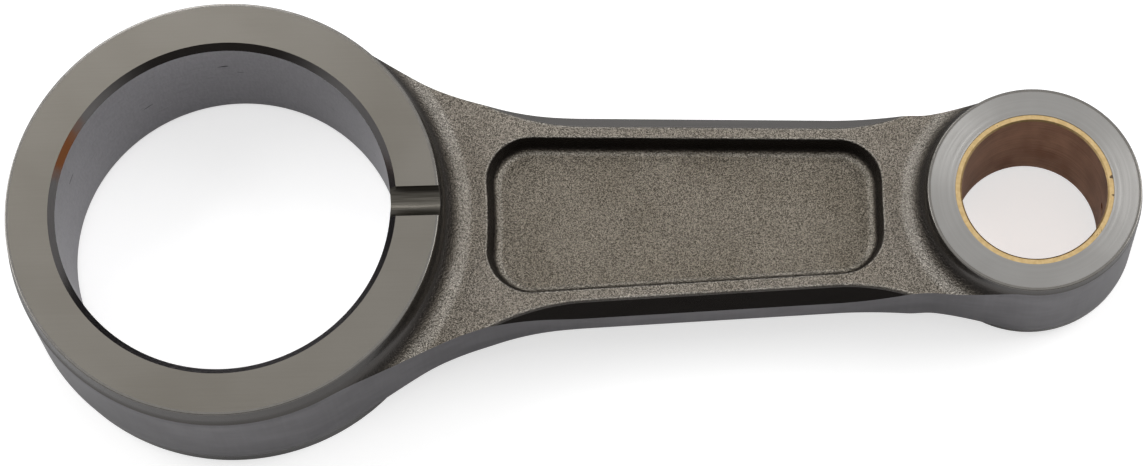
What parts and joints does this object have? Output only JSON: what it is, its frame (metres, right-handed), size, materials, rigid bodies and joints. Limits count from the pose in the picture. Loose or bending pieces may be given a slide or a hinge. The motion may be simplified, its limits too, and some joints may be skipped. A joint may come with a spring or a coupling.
{
  "type": "connecting rod",
  "caption": "One-piece forged steel connecting rod with a pocketed beam, a plain big-end bore with oil slots and a bronze-bushed small end.",
  "frame": {"origin": "centre of the big-end bore at the rod's mid-plane", "axes": "+X from the big end to the small end, +Z along both bores"},
  "size_m": [0.1414, 0.0548, 0.0204],
  "materials": {
    "forged_steel": "shot-peened beam, ground end faces and milled side walls",
    "bronze": "fine-bored bronze, satin"
  },
  "bodies": {
    "root": {"rod_forging": "forged_steel", "small_end_bush": "bronze"}
  },
  "joints": []
}
